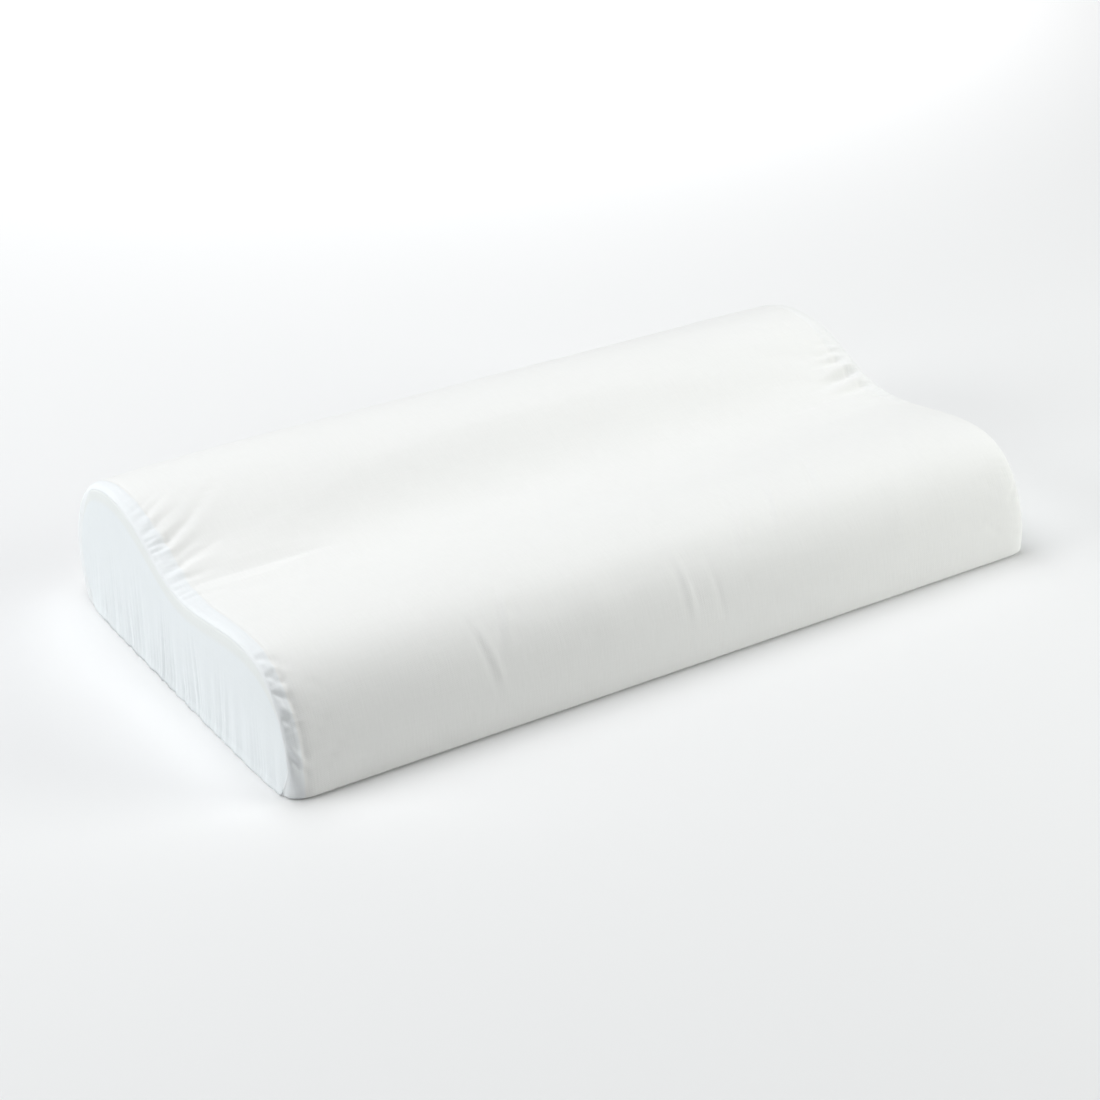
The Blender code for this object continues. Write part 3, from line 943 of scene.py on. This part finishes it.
def weave_group() -> ShaderNodeTree:
    """Node group of a plain cotton weave.

    Returns:
        The group: Tone, a brightness about 1 that streaks along both threads, Height, the
        relief of threads and slubs, and Roughness, at a place on the cloth in metres.
    """
    tree = bpy.data.node_groups.new("plain cotton weave", "ShaderNodeTree")
    for name, kind, side in (
        ("Cloth", "NodeSocketVector", "INPUT"), ("Thread", "NodeSocketFloat", "INPUT"),
        ("Streak", "NodeSocketFloat", "INPUT"), ("Matt", "NodeSocketFloat", "INPUT"),
        ("Tone", "NodeSocketFloat", "OUTPUT"), ("Height", "NodeSocketFloat", "OUTPUT"),
        ("Roughness", "NodeSocketFloat", "OUTPUT"),
    ):
        tree.interface.new_socket(name, in_out=side, socket_type=kind)
    board = NodeBoard(tree)
    given = board.add("NodeGroupInput").outputs

    def stretched(scale: Triple, detail: float) -> NodeSocket:
        """Noise drawn out along one thread direction."""
        mapped = board.add("ShaderNodeMapping", inputs={"Vector": given["Cloth"], "Scale": scale})
        inputs = {"Vector": mapped.outputs[0], "Scale": 1.0, "Detail": detail, "Roughness": 0.6}
        return board.add("ShaderNodeTexNoise", inputs=inputs).outputs["Fac"]

    # per metre across and along the cloth: about a streak a millimetre, and soft clouds
    warp = stretched((1050.0, 75.0, 1.0), 2.0)
    weft = stretched((68.0, 980.0, 1.0), 2.0)
    cloud = stretched((16.0, 16.0, 1.0), 3.0)
    streaks = board.math(
        "ADD", board.math("MULTIPLY", warp, 0.6), board.math("MULTIPLY", weft, 0.4))
    centred = board.math("SUBTRACT", streaks, 0.5)
    soft = board.math("MULTIPLY", board.math("SUBTRACT", cloud, 0.5), 0.35)
    tone = board.math("MULTIPLY", board.math("ADD", centred, soft), given["Streak"])
    parts = board.add("ShaderNodeSeparateXYZ", inputs={0: given["Cloth"]})
    turns = board.math("DIVIDE", math.pi, given["Thread"])
    over = board.math("SINE", board.math("MULTIPLY", parts.outputs[0], turns))
    under = board.math("SINE", board.math("MULTIPLY", parts.outputs[1], turns))
    crossing = board.math("MULTIPLY", board.math("MULTIPLY", over, under), 0.25)
    height = board.math("ADD", crossing, board.math("MULTIPLY", centred, 2.2))
    rough = board.math("ADD", given["Matt"], board.math("MULTIPLY", centred, 0.18))
    board.add("NodeGroupOutput", inputs={
        "Tone": board.math("ADD", tone, 1.0), "Height": height, "Roughness": rough})
    return tree


@dataclass(frozen=True)
class CottonFinish:
    """White cotton of the cover."""

    name: str
    colour: Triple  # light streaks
    shade: Triple  # dark streaks
    seam_light_and_shade: Triple  # painted light and shade beside the seams, as what the colour is multiplied by
    thread: float = 0.00062
    streak: float = 0.10
    tones: tuple[float, float] = (0.94, 1.06)
    matt: float = 0.88
    relief: float = 0.00008
    relief_strength: float = 0.8
    shine: Settings = (
        ("Specular IOR Level", 0.25), ("Sheen Weight", 0.12), ("Sheen Roughness", 0.5))

    def material(self, weave: ShaderNodeTree) -> Material:
        """The cotton as a material.

        Args:
            weave: The weave's node group.

        Returns:
            A Principled material whose colour, roughness and relief follow the weave on the
            piece's cloth coordinates, and whose colour is multiplied by painted light and shade
            beside the seams.
        """
        made = bpy.data.materials.new(self.name)
        made.use_nodes = True
        board = NodeBoard(made.node_tree)
        shader = made.node_tree.nodes["Principled BSDF"]
        cloth = board.add("ShaderNodeUVMap", {"uv_map": "cloth"}).outputs[0]
        group = board.add("ShaderNodeGroup", {"node_tree": weave}, {
            "Cloth": cloth, "Thread": self.thread, "Streak": self.streak,
            "Matt": self.matt}).outputs
        dark, light = (*self.shade, 1.0), (*self.colour, 1.0)
        ramp = board.add("ShaderNodeMapRange", inputs={
            "Value": group["Tone"], "From Min": self.tones[0], "From Max": self.tones[1]})
        plain = board.add("ShaderNodeMix", {"data_type": "RGBA"}, {
            0: ramp.outputs[0], 6: dark, 7: light})
        # painted light and shade beside the seams: the mesh's mask tints the colour there
        mask = board.add("ShaderNodeAttribute", {"attribute_name": "seam_light_and_shade"}).outputs["Fac"]
        tint = board.add("ShaderNodeMix", {"data_type": "RGBA"}, {
            0: mask, 6: (1.0, 1.0, 1.0, 1.0), 7: (*self.seam_light_and_shade, 1.0)})
        mixed = board.add("ShaderNodeMix", {"data_type": "RGBA", "blend_type": "MULTIPLY"}, {
            0: 1.0, 6: plain.outputs[2], 7: tint.outputs[2]})
        bump = board.add("ShaderNodeBump", inputs={
            "Height": group["Height"], "Distance": self.relief,
            "Strength": self.relief_strength})
        join = made.node_tree.links.new
        join(mixed.outputs[2], shader.inputs["Base Color"])
        join(group["Roughness"], shader.inputs["Roughness"])
        join(bump.outputs[0], shader.inputs["Normal"])
        for name, value in self.shine:
            shader.inputs[name].default_value = value
        return made


@dataclass(frozen=True)
class SoftLight:
    """A square studio light that faces a point of the pillow."""

    name: str
    place: Triple
    aim: Triple
    size: float
    power: float
    colour: Triple
    spread: float = 180.0

    def build(self) -> None:
        """Makes the light and turns it to its aim."""
        data = bpy.data.lights.new(self.name, "AREA")
        data.shape = "SQUARE"
        data.size = self.size
        data.energy = self.power
        data.color = self.colour
        data.spread = math.radians(self.spread)
        lamp = bpy.data.objects.new(self.name, data)
        lamp.location = self.place
        way = Vector(self.aim) - Vector(self.place)
        lamp.rotation_euler = way.to_track_quat("-Z", "Y").to_euler()
        bpy.context.scene.collection.objects.link(lamp)


@dataclass
class Studio:
    """Floor, lights, surroundings and camera."""

    floor_size: float = 8.0
    floor_colour: Triple = (0.83, 0.83, 0.83)
    floor_finish: Settings = (
        ("Roughness", 0.95), ("Specular IOR Level", 0.1))
    floor_gap: float = 0.0003  # how far it lies under the pillow
    sky_colour: Triple = (0.90, 0.94, 1.0)
    sky_strength: float = 0.02
    lights: tuple[SoftLight, ...] = (
        SoftLight("overhead", (-0.3, 0.5, 2.2), (0.0, 0.0, 0.05),
                  1.8, 46.5, (0.975, 0.985, 1.0)),
        SoftLight("cool side", (-2.2, 0.65, 0.9), (-0.2, 0.0, 0.05),
                  1.4, 27.5, (0.98, 1.0, 0.99)),
        SoftLight("right front", (1.25, -1.0, 0.55), (0.15, -0.1, 0.03),
                  1.0, 17.0, (0.98, 1.0, 0.965)),
        SoftLight("far floor", (0.9, 1.7, 1.6), (0.9, 1.7, 0.0),
                  1.2, 13.0, (1.0, 1.0, 1.0), 84.0),
    )
    picture_width: float = 1100.0
    focal_pixels: float = 2235.2
    sensor: float = 36.0
    camera_place: Triple = (-0.64763, -1.05128, 0.62713)
    azimuth: float = 31.581
    elevation: float = 26.418
    roll: float = -1.606

    def camera(self) -> None:
        """Makes the camera from its place, its two angles and its roll."""
        az, el, roll = map(math.radians, (self.azimuth, self.elevation, self.roll))
        ahead = Vector((math.sin(az) * math.cos(el), math.cos(az) * math.cos(el), -math.sin(el)))
        level = Vector((math.cos(az), -math.sin(az), 0.0))
        up = level.cross(ahead)
        across = level * math.cos(roll) + up * math.sin(roll)
        upward = up * math.cos(roll) - level * math.sin(roll)
        data = bpy.data.cameras.new("camera")
        data.sensor_width = self.sensor
        data.lens = self.sensor * self.focal_pixels / self.picture_width
        camera = bpy.data.objects.new("camera", data)
        turned = Matrix((across, upward, -ahead)).transposed().to_4x4()
        camera.matrix_world = Matrix.Translation(self.camera_place) @ turned
        bpy.context.scene.collection.objects.link(camera)
        bpy.context.scene.camera = camera

    def floor(self) -> None:
        """Makes the plain pale floor just under the pillow."""
        signs = ((-1, -1), (1, -1), (1, 1), (-1, 1))
        half = self.floor_size / 2
        corners = np.array([(half * x, half * y, -self.floor_gap) for x, y in signs])
        paint = bpy.data.materials.new("pale floor")
        paint.use_nodes = True
        shader = paint.node_tree.nodes["Principled BSDF"]
        shader.inputs["Base Color"].default_value = (*self.floor_colour, 1.0)
        for name, value in self.floor_finish:
            shader.inputs[name].default_value = value
        made = mesh_piece("floor", corners, [[0, 1, 2, 3]], corners[:, :2], np.zeros(4), paint)

    def build(self) -> None:
        """Makes the whole studio."""
        scene = bpy.context.scene
        scene.view_settings.view_transform = "Standard"
        world = bpy.data.worlds.new("studio")
        world.use_nodes = True
        back = world.node_tree.nodes["Background"]
        back.inputs["Color"].default_value = (*self.sky_colour, 1.0)
        back.inputs["Strength"].default_value = self.sky_strength
        scene.world = world
        self.camera()
        self.floor()
        for light in self.lights:
            light.build()


@dataclass
class Pillow:
    """The pillow's three pieces and their finishes."""

    wave: WaveLine = field(default_factory=WaveLine)
    turn: EndTurn = field(default_factory=EndTurn)
    # The wrap's last colour is painted cool light on the doubled cloth beside the seams.
    wrap_cotton: CottonFinish = CottonFinish(
        "wrap_cotton", (0.895, 0.895, 0.882), (0.815, 0.815, 0.80), (0.975, 1.0, 1.032))
    # The end panels' bluer colours are painted cool light from the side lamp, and their last colour
    # is painted shade in a band below the top seam.
    end_cotton: CottonFinish = CottonFinish(
        "end_cotton", (0.862, 0.897, 0.915), (0.782, 0.817, 0.838), (0.985, 0.972, 0.945))

    def build(self) -> None:
        """Makes the wrap and both end panels, and puts each in place of its solid."""
        relief = ClothRelief(self.turn, self.wave)
        wrap = CoverWrap(self.wave, self.turn, relief)
        relief.slack = ClothSimulation(wrap).run()
        weave = weave_group()
        body = wrap.build(self.wrap_cotton.material(weave))
        place_on_frame(body, "pillow_body")
        end_material = self.end_cotton.material(weave)
        for end in End:
            panel = EndPanel(end, self.wave, self.turn, relief).build(end_material)
            place_on_frame(panel, f"end_panel_{end.name.lower()}")


def place_on_frame(piece: Object, node: str) -> None:
    """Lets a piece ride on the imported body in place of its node.

    Args:
        piece: The finished piece.
        node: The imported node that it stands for.
    """
    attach(piece, "root")
    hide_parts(node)
    LOG.info("%s: %d points", piece.name, len(piece.data.vertices))


def main() -> None:
    """Builds the studio and the pillow."""
    logging.basicConfig(level=logging.INFO, format="%(name)s: %(message)s")
    Studio().build()
    Pillow().build()


if __name__ == "__main__":
    main()
